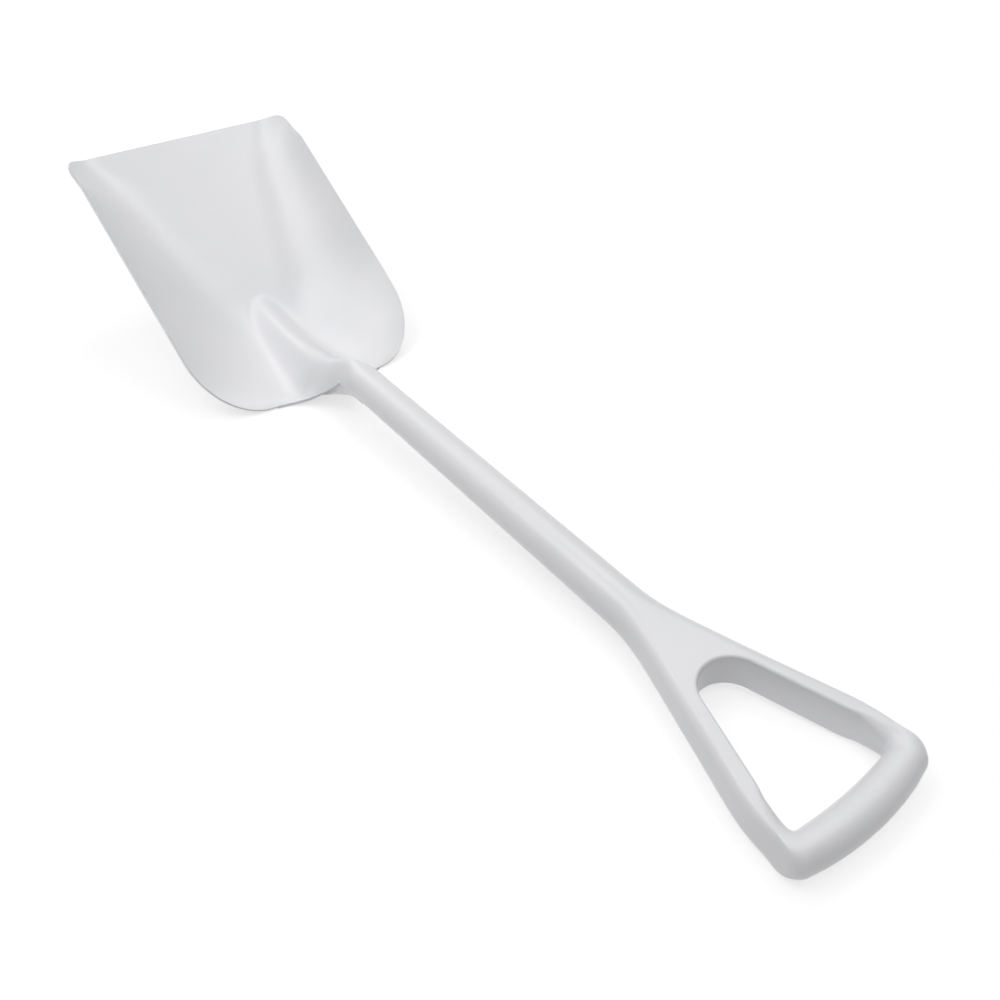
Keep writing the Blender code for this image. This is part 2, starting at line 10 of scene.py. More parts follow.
import bmesh
import bpy
import numpy as np
from mathutils import Euler, Matrix, Vector


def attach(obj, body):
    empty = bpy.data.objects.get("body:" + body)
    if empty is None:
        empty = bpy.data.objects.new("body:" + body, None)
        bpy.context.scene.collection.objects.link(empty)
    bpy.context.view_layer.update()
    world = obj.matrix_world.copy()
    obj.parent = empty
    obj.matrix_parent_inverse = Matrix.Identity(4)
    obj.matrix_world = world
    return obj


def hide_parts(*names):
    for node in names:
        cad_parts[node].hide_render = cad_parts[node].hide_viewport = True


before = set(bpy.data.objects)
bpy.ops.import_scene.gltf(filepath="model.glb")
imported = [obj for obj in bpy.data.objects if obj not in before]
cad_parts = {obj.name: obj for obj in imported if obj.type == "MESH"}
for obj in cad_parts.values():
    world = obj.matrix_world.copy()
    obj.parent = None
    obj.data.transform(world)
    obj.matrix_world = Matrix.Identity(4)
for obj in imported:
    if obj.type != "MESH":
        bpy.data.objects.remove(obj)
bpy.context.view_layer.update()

bl_info = {
    "name": "Ice Shovel",
    "version": (1, 0, 0),
    "blender": (4, 5, 0),
    "location": "3D View > Sidebar > Ice Shovel",
    "description": "Builds a moulded plastic ice shovel round its packed model",
    "category": "Add Mesh",
}

# Gap that the packed model leaves between touching pieces, and what the visual pieces close it to
CAD_GAP = 0.0003
HAIRLINE = 0.00001
# Closer points are merged, and edges with a sharper fold stay sharp in the shading
WELD = 0.000002
SHARP_ANGLE = math.radians(38.0)
# Step for the slopes of the scoop's face
SLOPE_STEP = 0.00001
# Share of the cube in the columns' places, which crowds them to the middle
MIDDLE_CROWDING = 0.55
NECK_CROWDING = 0.4
# The ridge's foot is worked out no closer to its tip than this share of its length
RIDGE_TIP_SHARE = 0.001
# Share of an arm from which its section turns round
ROUNDING_START = 0.75

# Grid resolution
MIDDLE_COLUMNS = 110
CORNER_COLUMNS = 16
TURN_ROWS = 44
BOWL_ROWS = 40
FRONT_ROWS = 48
SLEEVE_ROWS = 8
OPENING_ROWS = 30
RIM_STEPS = 8
KEEL_ROWS = 40
KEEL_COLUMNS = 36
SHAFT_SIDES = 160
SHAFT_ROWS = 60
QUARTER_STEPS = 12
WEB_ROWS = 60
ARM_ROWS = 130
CORNER_ROWS = 22
GRIP_ROWS = 70
ARC_STEPS = 48
COLUMN_SAMPLES = 4001
OUTLINE_SAMPLES = 20 * ARM_ROWS
FLAT_SHARES = np.array([0.04, 0.15, 0.35, 0.6, 0.85, 0.96])

# Plastic
PLASTIC_IOR = 1.5
MOULDING_BUMP = 0.25
DOWEL_BUMP = 0.4
BUMP_DEPTH = 0.00012
WAVE_HEIGHT = 2.2
# Sockets of a colour mix node, which share their names with others
MIX_A = 6
MIX_B = 7
MIX_RESULT = 2

# The photo's camera along the shovel's own axes, in metres and degrees
CAMERA_PLACE = (-0.73973, 0.36278, 0.52478)
CAMERA_TURN = (48.7936, 0.0803, -127.2201)
SENSOR_WIDTH = 36.0
# Turn and rise in degrees, and the power, of each soft box
LAMPS = {
    "Front box": (0.0, 62.0, 4.1),
    "Front left box": (60.0, 62.0, 12.8),
    "Back left box": (120.0, 62.0, 1.8),
    "Back box": (180.0, 62.0, 8.2),
    "Back right box": (240.0, 62.0, 6.9),
    "Front right box": (300.0, 62.0, 8.4),
    "Low front box": (0.0, 35.0, 5.8),
    "Low left box": (120.0, 35.0, 4.4),
}


def length(name, description, metres):
    """A size in metres for a property group."""
    return bpy.props.FloatProperty(
        name=name, description=description, default=metres, subtype="DISTANCE", unit="LENGTH", precision=4
    )


def ratio(name, description, value):
    """A plain number for a property group."""
    return bpy.props.FloatProperty(name=name, description=description, default=value, precision=3)


def colour(name, description, rgb):
    """A colour for a property group."""
    return bpy.props.FloatVectorProperty(
        name=name, description=description, default=rgb, subtype="COLOR", size=3, min=0.0, max=1.0
    )


class ScoopSizes(bpy.types.PropertyGroup):
    """Sizes of the scoop's pan, rim and ridge."""

    reach: length("Reach", "From the shaft's mouth to the front edge", 0.3928)
    width_front: length("Front width", "Across the rim at the front edge", 0.2732)
    width_back: length("Back width", "Across the rim where the rear corners start", 0.266)
    skin: length("Skin", "Thickness of the moulded wall", 0.0030)
    tip_rise: length("Tip rise", "Height of the front edge over the shaft's axis", 0.1275)
    floor_slope: bpy.props.FloatProperty(
        name="Floor slope",
        description="Angle of the flat floor to the shaft's axis",
        default=math.radians(39.5),
        subtype="ANGLE",
        unit="ROTATION",
    )
    flat_length: length("Flat floor", "Length of the straight floor along the shaft's axis", 0.168)
    bowl_depth: length("Bowl depth", "Depth of the bowl under the shaft's axis", 0.0525)
    bowl_bottom: length("Bowl bottom", "Place of the bowl's lowest point", 0.091)
    bowl_curve: ratio("Bowl curve", "How late the bowl rises to the flat floor", 2.63)
    rear_edge: length("Rear edge", "Place of the rear edge", 0.054)
    rear_lip: length("Rear lip", "Rise of the floor to the rear edge", 0.0015)
    rear_radius: length("Rear corner", "Radius of the rear corners", 0.067)
    corner_length: length("Front corner length", "Length of the rounded front corners", 0.036)
    corner_width: length("Front corner width", "Width of the rounded front corners", 0.040)
    corner_blend: length("Corner blend", "Length over which the corner's setback grows", 0.150)
    side_slope: ratio("Side rim slope", "Rise of the side rim along the shaft's axis", 0.59)
    side_rise: length("Side rim rise", "Height of the side rim where the rear corners start", 0.0023)
    side_drop: length("Side rim drop", "Fall of the side rim at the front corners", 0.0102)
    rear_slope: ratio("Rear rim slope", "Fall of the rim round the rear corners", 0.80)
    rim_bend: length("Rim bend", "Half length over which the rim bends from one slope to the other", 0.030)
    foot_edge: length("Edge wall foot", "Width over which the side wall curves up at the front edge", 0.040)
    foot_front: length("Front wall foot", "Width over which the side wall curves up in front", 0.065)
    foot_back: length("Back wall foot", "Width over which the side wall curves up at the back", 0.143)
    edge_length: length("Edge length", "Length over which the side wall gets narrower to the front edge", 0.046)
    wall_curve: ratio("Wall curve", "How late the side wall rises from its foot", 2.05)
    ridge_low: length("Ridge low", "Depth of the crest's sag under the shaft's axis", 0.0239)
    ridge_low_x: length("Ridge low place", "Place of the crest's lowest point", 0.1366)
    sag_radius: length("Sag radius", "Radius of the crest at its lowest point", 0.32938)
    ridge_fall_x: length("Ridge fall start", "Place where the crest starts to fall from the shaft's top", -0.0443)
    ridge_fall: length("Ridge fall", "Length over which the crest falls from the shaft's top", 0.0911)
    ridge_tip: length("Ridge tip", "Place of the ridge's tip", 0.2285)
    ridge_foot: length("Ridge foot", "Half width of the ridge at the rear edge", 0.056)
    ridge_point: ratio("Ridge point", "How bluntly the ridge's plan comes to its tip", 0.30)
    ridge_fullness: ratio("Ridge fullness", "Power of the cosine in the ridge's section", 3.2)
    bell_length: length("Bell length", "Length over which the neck's arch turns into the ridge's bell", 0.075)


class NeckSizes(bpy.types.PropertyGroup):
    """Sizes of the neck, its swept edges and the keel under it."""

    sleeve: length("Sleeve", "Length of the closed sleeve behind the shaft's mouth", 0.060)
    open_x: length("Opening", "Place where the sleeve starts to open below", -0.035)
    open_length: length("Opening length", "Length over which the sleeve spreads into the pan", 0.036)
    fullness: ratio("Fullness", "Power of the cosine in the neck's section", 0.5)
    foot_share: ratio("Foot share", "Half width of the fold at the neck, as a share of the ridge's foot", 0.32)
    spread: length("Spread", "Length over which the neck's fold widens to the ridge's foot", 0.080)
    column_curve: ratio("Column curve", "How early the neck's columns turn down its flanks", 1.75)
    sweep: length("Sweep", "Length of the swept edge from the rear edge to the shaft", 0.060)
    sweep_fullness: ratio("Sweep fullness", "Roundness of the swept edge in plan", 1.7)
    edge_rise: length("Edge rise", "Rise of the swept edge to the shaft", 0.037)
    edge_curve: ratio("Edge curve", "How late the swept edge rises", 1.3)
    keel_back: length("Keel back", "Place of the keel's rear end", -0.044)
    keel_length: length("Keel length", "Length of the keel", 0.086)
    keel_drop: length("Keel drop", "Fall of the keel's bottom line over its length", 0.0335)
    keel_curve: ratio("Keel curve", "How late the keel's bottom line falls", 1.5)
    keel_rise: length("Keel rise", "How far the keel's top goes up behind the swept edge", 0.0040)
    keel_back_inset: length("Keel back inset", "How much narrower the keel's rear end is than the shaft", 0.0045)
    keel_front_inset: length("Keel front inset", "How much narrower the keel's front is than the shaft", 0.0004)
    keel_edge: length("Keel edge", "Height of the keel's sides", 0.0020)
    keel_fullness: ratio("Keel fullness", "Roundness of the keel's section", 2.5)


class ShaftSizes(bpy.types.PropertyGroup):
    """Sizes of the round shaft."""

    radius_front: length("Front radius", "Radius at the scoop", 0.0175)
    radius_back: length("Back radius", "Radius at the fork", 0.0182)
    wall: length("Wall", "Thickness of the tube's wall", 0.0032)
    tube: length("Tube length", "Length of the shaft between the scoop's sleeve and the fork", 0.355)
    dowel_hold: length("Dowel hold", "How far the dowels go into each piece", 0.030)


class GripSizes(bpy.types.PropertyGroup):
    """Sizes of the fork, the hand hole and the cross bar."""

    root: length("Root", "Length of the fork's round root", 0.0305)
    flare_radius: length("Flare radius", "Radius of the outer edge where the fork widens", 0.147)
    arm: length("Arm", "Length of the fork from the flare to the knuckle", 0.1495)
    knuckle_half: length("Knuckle half width", "Half width over the knuckles", 0.0648)
    half_width: length("Half width", "Half width over the grip's ends", 0.068)
    knuckle_radius: length("Knuckle radius", "Radius of the outer edge at the knuckles", 0.130)
    end: length("Grip end", "Length from the knuckles to the grip's outer edge", 0.0555)
    corner: length("Corner", "Radius of the grip's outer corners", 0.011)
    bow: length("Bow", "How much the grip's outer edge bows out", 0.009)
    hole_back: length("Hole start", "From the flare to the hole's apex", 0.0585)
    apex_radius: length("Apex radius", "Radius of the hole's round apex", 0.0265)
    apex_half: length("Apex half width", "Half width of the hole's apex", 0.0202)
    hole_knuckle: length("Hole knuckle", "From the flare to the hole's knuckle", 0.1515)
    hole_knuckle_radius: length("Hole knuckle radius", "Radius of the hole's edge at its knuckle", 0.020)
    hole_end: length("Hole end", "From the flare to the hole's straight end", 0.174)
    hole_half: length("Hole half width", "Half width of the hole at the grip", 0.0488)
    hole_corner: length("Hole corner", "Radius of the hole's corners", 0.003)
    hole_bow: length("Hole bow", "How much the hole's end bows out", 0.003)
    arm_half: length("Arm half thickness", "Half thickness of the web and the arms", 0.016)
    outer_round: length("Outer round", "Radius of the outer edges", 0.011)
    inner_round: length("Inner round", "Radius of the hole's edges", 0.0025)
    grip_half: length("Grip half thickness", "Half thickness of the cross bar", 0.0152)
    flat: length("Flat", "Width of the flat on the cross bar's top", 0.001)
    seam: length("Seam", "Half length of the cross bar between its seams", 0.044)
    dowel_radius: length("Dowel radius", "Radius of the grip's dowel", 0.005)
    dowel_seat: length("Dowel seat", "How far the dowel goes into each arm", 0.010)
    lean: length("Lean", "How far ahead of the apex the web's last row ends", 0.021)
    flattening: length("Flattening", "Length over which the round root turns flat", 0.055)


class PlasticLooks(bpy.types.PropertyGroup):
    """Colours and finish of the plastic."""

    white: colour("White", "The mouldings' colour", (0.80, 0.80, 0.82))
    cool: colour("Cool white", "The colour that the white drifts to in broad, faint patches", (0.775, 0.78, 0.80))
    dowel: colour("Dowel", "The dowels' colour", (0.70, 0.71, 0.74))
    roughness: ratio("Roughness", "Roughness of the clean moulded face", 0.30)
    grain: length("Grain", "Size of the mould's fine grain", 0.0009)


class StageLooks(bpy.types.PropertyGroup):
    """Floor, light and camera."""

    floor: colour("Floor", "Colour of the floor", (0.90, 0.90, 0.90))
    size: length("Floor size", "Half length of the floor's side", 8.0)
    lens: bpy.props.FloatProperty(
        name="Lens", description="Focal length on a 36 mm sensor", default=32.8088, subtype="DISTANCE_CAMERA"
    )
    world: ratio("World", "Strength of the surrounding light", 0.05)
    shadow: colour("Shadow", "Share of the lamps' light in the floor as it is seen", (0.42, 0.42, 0.42))
    glow: ratio("Glow", "Strength of the floor's own white near the shovel", 0.67)
    lit: length("Lit", "Distance up to which the lamps light the floor fully", 0.5)
    unlit: length("Unlit", "Distance from which the floor shows its own white alone", 2.2)
    lamp_distance: length("Lamp distance", "From the shovel's middle to each soft box", 2.2)
    lamp_size: length("Lamp size", "Side of each soft box", 1.1)


def ease(value):
    """Zero up to 0, one from 1 on, and the cubic 3v^2 - 2v^3 between."""
    value = np.clip(value, 0.0, 1.0)
    return value * value * (3.0 - 2.0 * value)


def blend(start, end, share):
    """From start to end, by a share of the way."""
    return start + (end - start) * share


def unit(vectors):
    """The vectors at length 1, along the last axis."""
    return vectors / np.linalg.norm(vectors, axis=-1, keepdims=True)


def sizes():
    """The property groups of the scoop, neck, shaft and grip, called s, n, h and g below."""
    scene = bpy.context.scene
    return scene.shovel_scoop, scene.shovel_neck, scene.shovel_shaft, scene.shovel_grip


def shovel_axes():
    """The shovel's own origin and axes in the packed frame, as a 4 by 4 matrix. The mean of the packed tube's points
    lies on its axis and their longest principal direction is that axis; the origin lies a sleeve's length ahead."""
    points = np.unique([vertex.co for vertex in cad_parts["shaft_tube"].data.vertices], axis=0)
    middle = points.mean(axis=0)
    along = np.linalg.svd(points - middle, full_matrices=False)[2][0]
    along *= np.sign(along[0])
    left = np.array([0.0, 1.0, 0.0])
    front = ((points - middle) @ along).max()
    origin = middle + along * (front + CAD_GAP + sizes()[1].sleeve)
    matrix = np.eye(4)
    matrix[:3] = np.stack([along, left, np.cross(along, left), origin], axis=1)
    return Matrix(matrix.tolist())


def patch(points, closed=False):
    """Quads between neighbours of a grid of points, and between its last and first columns where it is closed."""
    rows, columns = points.shape[:2]
    number = np.arange(rows * columns).reshape(rows, columns)
    if closed:
        number = np.concatenate([number, number[:, :1]], axis=1)
    quads = np.stack([number[:-1, :-1], number[1:, :-1], number[1:, 1:], number[:-1, 1:]], axis=-1)
    return points.reshape(-1, 3), quads.reshape(-1, 4)


def add_object(name, data):
    """A new object in the scene."""
    made = bpy.data.objects.new(name, data)
    bpy.context.scene.collection.objects.link(made)
    return made


def piece(name, patches, replaced):
    """One closed mesh from patches: their borders are merged, the faces turned outwards and the mesh laid down in the
    packed frame."""
    points = np.concatenate([own_points for own_points, _ in patches])
    starts = np.cumsum([0] + [len(own_points) for own_points, _ in patches])
    quads = np.concatenate([own_quads + start for (_, own_quads), start in zip(patches, starts)])
    mesh = bpy.data.meshes.new(name)
    mesh.from_pydata(points.tolist(), [], quads.tolist())
    shape = bmesh.new()
    shape.from_mesh(mesh)
    bmesh.ops.remove_doubles(shape, verts=shape.verts, dist=WELD)
    bmesh.ops.recalc_face_normals(shape, faces=shape.faces)
    shape.to_mesh(mesh)
    shape.free()
    mesh.transform(shovel_axes())
    mesh.update()
    mesh.shade_smooth()
    mesh.set_sharp_from_angle(angle=SHARP_ANGLE)
    mesh.materials.append(white_plastic())
    made = add_object(name, mesh)
    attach(made, "root")
    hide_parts(replaced)


# Scoop


def side_start(s):
    """Where the rear corners end and the straight sides start."""
    return s.rear_edge + s.rear_radius


def floor_height(x, s):
    """Floor on the middle line: a straight slope in front, behind it a power curve down to the bowl's bottom, and a
    small parabola up to the rear lip."""
    steep = math.tan(s.floor_slope)
    end = s.reach - s.flat_length
    top = s.tip_rise - steep * s.flat_length
    along = np.clip((x - s.bowl_bottom) / (end - s.bowl_bottom), 0.0, 1.0)
    lip = np.clip((s.bowl_bottom - x) / (s.bowl_bottom - s.rear_edge), 0.0, 1.0)
    bowl = -s.bowl_depth + (top + s.bowl_depth) * along**s.bowl_curve + s.rear_lip * lip**2
    return np.where(x > end, s.tip_rise - steep * (s.reach - x), bowl)


def rim_height(x, s, n):
    """Rim: two straight lines joined by a parabola, one along the sides and a steeper one round the rear corners,
    less an eased fall at the front corner, plus a power curve up to the neck."""
    front = s.side_drop * ease((x - s.reach + 2 * s.corner_length) / s.corner_length)
    ahead = np.maximum(x, s.rear_edge) - side_start(s)
    bend = np.clip(s.rim_bend - ahead, 0.0, None) ** 2 / (4 * s.rim_bend)
    bend = np.where(ahead < -s.rim_bend, -ahead, bend)
    swept = np.clip((s.rear_edge - x) / n.sweep, 0.0, 1.0)
    neck = n.edge_rise * swept**n.edge_curve
    return s.side_rise + s.side_slope * ahead - (s.rear_slope - s.side_slope) * bend - front + neck


def half_width(x, s, n, h):
    """Half of the scoop's width: a straight taper, a quarter circle at the rear corners, and a quarter superellipse
    in to the shaft's radius."""
    full = blend(s.width_back, s.width_front, np.clip((x - side_start(s)) / (s.reach - side_start(s)), 0.0, 1.0)) / 2
    corner = np.clip((side_start(s) - x) / s.rear_radius, 0.0, 1.0)
    swept = np.clip((s.rear_edge - x) / n.sweep, 0.0, 1.0)
    arc = full - s.rear_radius * (1.0 - np.sqrt(1.0 - corner**2))
    inner = s.width_back / 2 - s.rear_radius
    drawn_in = (1.0 - (1.0 - swept) ** n.sweep_fullness) ** (1.0 / n.sweep_fullness)
    return np.where(x > s.rear_edge, arc, inner - (inner - h.radius_front) * drawn_in)


def crest_height(x, s, h):
    """Crest of the ridge: a parabola, eased up to the shaft's top at the neck."""
    sag = -s.ridge_low + (x - s.ridge_low_x) ** 2 / (2 * s.sag_radius)
    return sag + (h.radius_front - sag) * (1.0 - ease((x - s.ridge_fall_x) / s.ridge_fall))


def flank_fall(share, fullness):
    """How far a flank has come down, from 0 on the crest to 1 at its foot: one less a power of a cosine."""
    return 1.0 - np.maximum(np.cos(np.minimum(share, 1.0) * math.pi / 2), 0.0) ** fullness


def pan_height(x, y, s, n, h):
    """Inner face of the scoop: the floor, plus a power curve up to the rim within the wall's foot, plus a ridge. The
    ridge's section is a power of a cosine, which eases from an arch at the neck to a bell, and its half width grows
    as a power of the distance from the tip. Where the scoop is narrower than the ridge, the flank ends on the rim."""
    width = half_width(x, s, n, h)
    foot = blend(s.foot_back, s.foot_front, ease((x - side_start(s)) / (s.reach - side_start(s))))
    foot = blend(foot, s.foot_edge, ease((x - s.reach + s.edge_length) / s.edge_length))
    wall = np.clip(1.0 - (width - np.abs(y)) / foot, 0.0, 1.0)
    floor = floor_height(x, s)
    pan = floor + (rim_height(x, s, n) - floor) * wall**s.wall_curve
    behind = np.clip((s.ridge_tip - x) / (s.ridge_tip - s.rear_edge), RIDGE_TIP_SHARE, None)
    past_neck = x - s.rear_edge + n.sweep
    foot = s.ridge_foot * behind**s.ridge_point * blend(n.foot_share, 1.0, ease(past_neck / n.spread))
    fullness = blend(n.fullness, s.ridge_fullness, ease(past_neck / s.bell_length))
    fallen = flank_fall(np.abs(y) / foot, fullness) / flank_fall(width / foot, fullness)
    return pan + np.maximum(crest_height(x, s, h) - pan, 0.0) * (1.0 - fallen)


def scoop_rows(s, n):
    """Places along X of the rows: even along the sleeve, the bowl and the floor, and by the cosine of an even turn
    round the swept edge and the rear corners."""
    turn = np.linspace(0.0, math.pi / 2, TURN_ROWS + 1)
    sweep_end = s.rear_edge - n.sweep
    floor_end = s.reach - s.flat_length
    return np.concatenate(
        [
            np.linspace(-n.sleeve, n.open_x, SLEEVE_ROWS + 1),
            np.linspace(n.open_x, sweep_end, OPENING_ROWS + 1)[1:-1],
            s.rear_edge - n.sweep * (1.0 - np.cos(turn[::-1]) ** (2 / n.sweep_fullness)),
            side_start(s) - s.rear_radius * np.cos(turn[1:]),
            np.linspace(side_start(s), floor_end, BOWL_ROWS + 1)[1:],
            np.linspace(floor_end, s.reach - s.skin / 2, FRONT_ROWS + 1)[1:],
        ]
    )


def scoop_columns(s):
    """Shares of the half width, from -1 to 1: dense over the ridge, and by the sine of an even turn at the corners."""
    corner = s.corner_width / (s.width_front / 2)
    even = np.linspace(-1.0, 1.0, MIDDLE_COLUMNS + 1)
    middle = (1.0 - corner) * blend(even, even**3, MIDDLE_CROWDING)
    edge = 1.0 - corner * (1.0 - np.sin(np.linspace(0.0, math.pi / 2, CORNER_COLUMNS + 1)[1:]))
    return np.concatenate([-edge[::-1], middle, edge])


def scoop_face(s, n, h):
    """The upper face, with rows along X and columns across. A round sleeve of the shaft's radius eases into the pan
    where it opens; the front row is set back at its ends along a quarter ellipse. The face stops half the wall's
    thickness short of the outline, which the rounded rim fills."""
    station = scoop_rows(s, n)[:, None]
    across = scoop_columns(s)[None, :]
    even = np.linspace(-1.0, 1.0, COLUMN_SAMPLES)
    turn = np.interp(across, blend(even, even**3, NECK_CROWDING), even)
    round_neck = np.sin(math.pi / 2 * (1.0 - (1.0 - np.abs(turn)) ** n.column_curve)) * np.sign(turn)
    corner = np.clip(((np.abs(across) - 1.0) * s.width_front / 2 + s.corner_width) / s.corner_width, 0.0, 1.0)
    setback = s.corner_length * (1.0 - np.sqrt(1.0 - corner**2))
    x = station - setback * ease(1.0 - (s.reach - station) / s.corner_blend)
    opened = ease((station - n.open_x) / n.open_length)
    column = blend(round_neck, across, ease((x - s.rear_edge + n.sweep) / n.spread))
    y = column * (half_width(x, s, n, h) - opened * s.skin / 2)
    z = pan_height(x, y, s, n, h)
    ring_y = h.radius_front * np.sin(turn * math.pi)
    ring_z = h.radius_front * np.cos(turn * math.pi)
    return np.stack([x, blend(ring_y, y, opened), blend(ring_z, z, opened)], axis=-1)


def pan_normals(face, s, n, h):
    """Unit normals of the scoop's inner face. On the sleeve and the neck they are the cross product of the grid's
    differences both ways, and from the rear edge on (-dz/dx, -dz/dy, 1), with the step across taken inwards."""
    x, y = face[..., 0], face[..., 1]
    ahead = pan_height(x + SLOPE_STEP, y, s, n, h)
    behind = pan_height(x - SLOPE_STEP, y, s, n, h)
    along = (ahead - behind) / (2 * SLOPE_STEP)
    inward = np.where(y > 0.0, -SLOPE_STEP, SLOPE_STEP)
    across = (pan_height(x, y + inward, s, n, h) - pan_height(x, y, s, n, h)) / inward
    of_height = unit(np.stack([-along, -across, np.ones_like(x)], axis=-1))
    of_grid = unit(np.cross(np.gradient(face, axis=0), np.gradient(face, axis=1)))
    return np.where((x > s.rear_edge)[..., None], of_height, of_grid)


def edge_strip(top, bottom):
    """A rounded edge along matched lines of a wall's two faces: a half circle about the wall's middle line, turned
    out from the wall. Its depth shrinks where the edges of a slit lie closer than the wall is thick."""
    middle = (top + bottom) / 2
    half = (top - bottom) / 2
    along = np.gradient(middle, axis=0)
    out = unit(np.cross(along, half)) * np.linalg.norm(half, axis=1, keepdims=True)
    out *= np.minimum(np.abs(middle[:, 1:2]) / np.linalg.norm(half, axis=1, keepdims=True), 1.0)
    turn = np.linspace(0.0, math.pi, RIM_STEPS + 1)[None, :, None]
    return middle[:, None] + half[:, None] * np.cos(turn) + out[:, None] * np.sin(turn)


def border(grid, first_row):
    """The open border of a grid: up its last column, back along its last row and down its first column."""
    return np.concatenate([grid[first_row:, -1], grid[-1, -2:0:-1], grid[first_row:, 0][::-1]])


def scoop_patches():
    """The scoop: its upper face, the same face a wall's thickness below, the rounded rim, and the sleeve's end."""
    s, n, h = sizes()[:3]
    top = scoop_face(s, n, h)
    bottom = top - s.skin * pan_normals(top, s, n, h)
    for side in (0, -1):
        bottom[: SLEEVE_ROWS + 1, side] = top[: SLEEVE_ROWS + 1, side] * (1.0, 1.0, 1.0 - s.skin / h.radius_front)
    rim = edge_strip(border(top, SLEEVE_ROWS), border(bottom, SLEEVE_ROWS))
    return [patch(top), patch(bottom), patch(rim), patch(np.stack([top[0], bottom[0]]))]


def keel_patches():
    """The keel: its top is the sleeve's circle, eased into the rim's line and a rise over it where the sleeve opens.
    Its bottom is a superellipse from the low sides down to a power curve."""
    s, n, h = sizes()[:3]
    x = np.linspace(n.keel_back, n.keel_back + n.keel_length, KEEL_ROWS + 1)[:, None]
    share = (x - n.keel_back) / n.keel_length
    side = np.sin(np.linspace(-0.5, 0.5, KEEL_COLUMNS + 1) * math.pi)[None, :]
    half = h.radius_front - blend(n.keel_back_inset, n.keel_front_inset, share)
    opened = ease((x - n.open_x) / n.open_length)
    sleeve = -np.sqrt(np.maximum(h.radius_front**2 - (half * side) ** 2, 0.0))
    top = blend(sleeve, rim_height(x, s, n) + n.keel_rise, opened) - HAIRLINE
    edge = top[:, :1] - n.keel_edge - n.keel_rise * opened
    line = -h.radius_front - n.keel_edge - n.keel_drop * share**n.keel_curve
    bottom = blend(edge, line, 1.0 - np.abs(side) ** n.keel_fullness)
    y = half * side
    ring_y = np.concatenate([y, y[:, ::-1]], axis=1)
    ring_z = np.concatenate([top, bottom[:, ::-1]], axis=1)
    ring = np.stack([np.broadcast_to(x, ring_y.shape), ring_y, ring_z], axis=-1)
    ends = [np.stack([ring[row, : KEEL_COLUMNS + 1], ring[row, KEEL_COLUMNS + 1 :][::-1]]) for row in (0, -1)]
    return [patch(ring, closed=True), patch(ends[0]), patch(ends[1])]


# Shaft


def turned_profile(x, radius, sides):
    """Rings about the X axis, one for each pair of a place and a radius."""
    angle = np.linspace(0.0, 2 * math.pi, sides, endpoint=False)[None, :]
    x = np.asarray(x)[:, None]
    radius = np.asarray(radius)[:, None]
    return np.stack([np.broadcast_to(x, (len(x), sides)), radius * np.sin(angle), radius * np.cos(angle)], axis=-1)


def shaft_patches():
    """A tapered tube: its outer line from end to end, and its straight bore back again."""
    n, h = sizes()[1:3]
    front = -n.sleeve - HAIRLINE
    back = -n.sleeve - h.tube + HAIRLINE
    bore = h.radius_front - h.wall
    along = np.linspace(0.0, 1.0, SHAFT_ROWS + 1)
    x = np.concatenate([blend(front, back, along), [back, front, front]])
    radius = np.concatenate([blend(h.radius_front, h.radius_back, along), [bore, bore, h.radius_front]])
    return [patch(turned_profile(x, radius, SHAFT_SIDES), closed=True)]


# Fork and hand grip


def flare_x(n, h, g):
    """Where the fork starts to widen."""
    return -n.sleeve - h.tube - g.root


def rounded_path(points, radii):
    """The path through the points with each inner corner replaced by an arc of its radius, tangent to both sides."""
    points = [np.array(point, float) for point in points]
    path = [points[:1]]
    for before, corner, after, radius in zip(points, points[1:], points[2:], radii):
        to_before = unit(before - corner)
        to_after = unit(after - corner)
        half = math.acos(np.clip(to_before @ to_after, -1.0, 1.0)) / 2
        middle = corner + unit(to_before + to_after) * radius / math.sin(half)
        first = corner + to_before * radius / math.tan(half) - middle
        last = corner + to_after * radius / math.tan(half) - middle
        turn = math.atan2(first[0] * last[1] - first[1] * last[0], first @ last)
        angle = np.linspace(0.0, turn, ARC_STEPS + 1)
        x = np.cos(angle) * first[0] - np.sin(angle) * first[1]
        y = np.sin(angle) * first[0] + np.cos(angle) * first[1]
        path.append(middle + np.stack([x, y], axis=1))
    path.append(points[-1:])
    return np.concatenate(path)


def spread(path, count):
    """Points at even distances along the path."""
    along = np.concatenate([[0.0], np.cumsum(np.linalg.norm(np.diff(path, axis=0), axis=1))])
    wanted = np.linspace(0.0, along[-1], count)
    return np.stack([np.interp(wanted, along, path[:, 0]), np.interp(wanted, along, path[:, 1])], axis=1)


def split_at(path, place):
    """The two parts of a path, parted at its point nearest to the place."""
    nearest = int(np.argmin(np.linalg.norm(path - np.array(place), axis=1)))
    return path[: nearest + 1], path[nearest:]


def grip_outer_x(y, n, h, g):
    """The cross bar's outer edge, a parabola."""
    return flare_x(n, h, g) - g.arm - g.end + g.bow * (y / g.half_width) ** 2


def grip_inner_x(y, n, h, g):
    """The cross bar's edge at the hand hole, a parabola."""
    return flare_x(n, h, g) - g.hole_end - g.hole_bow * (1.0 - (y / g.hole_half) ** 2)


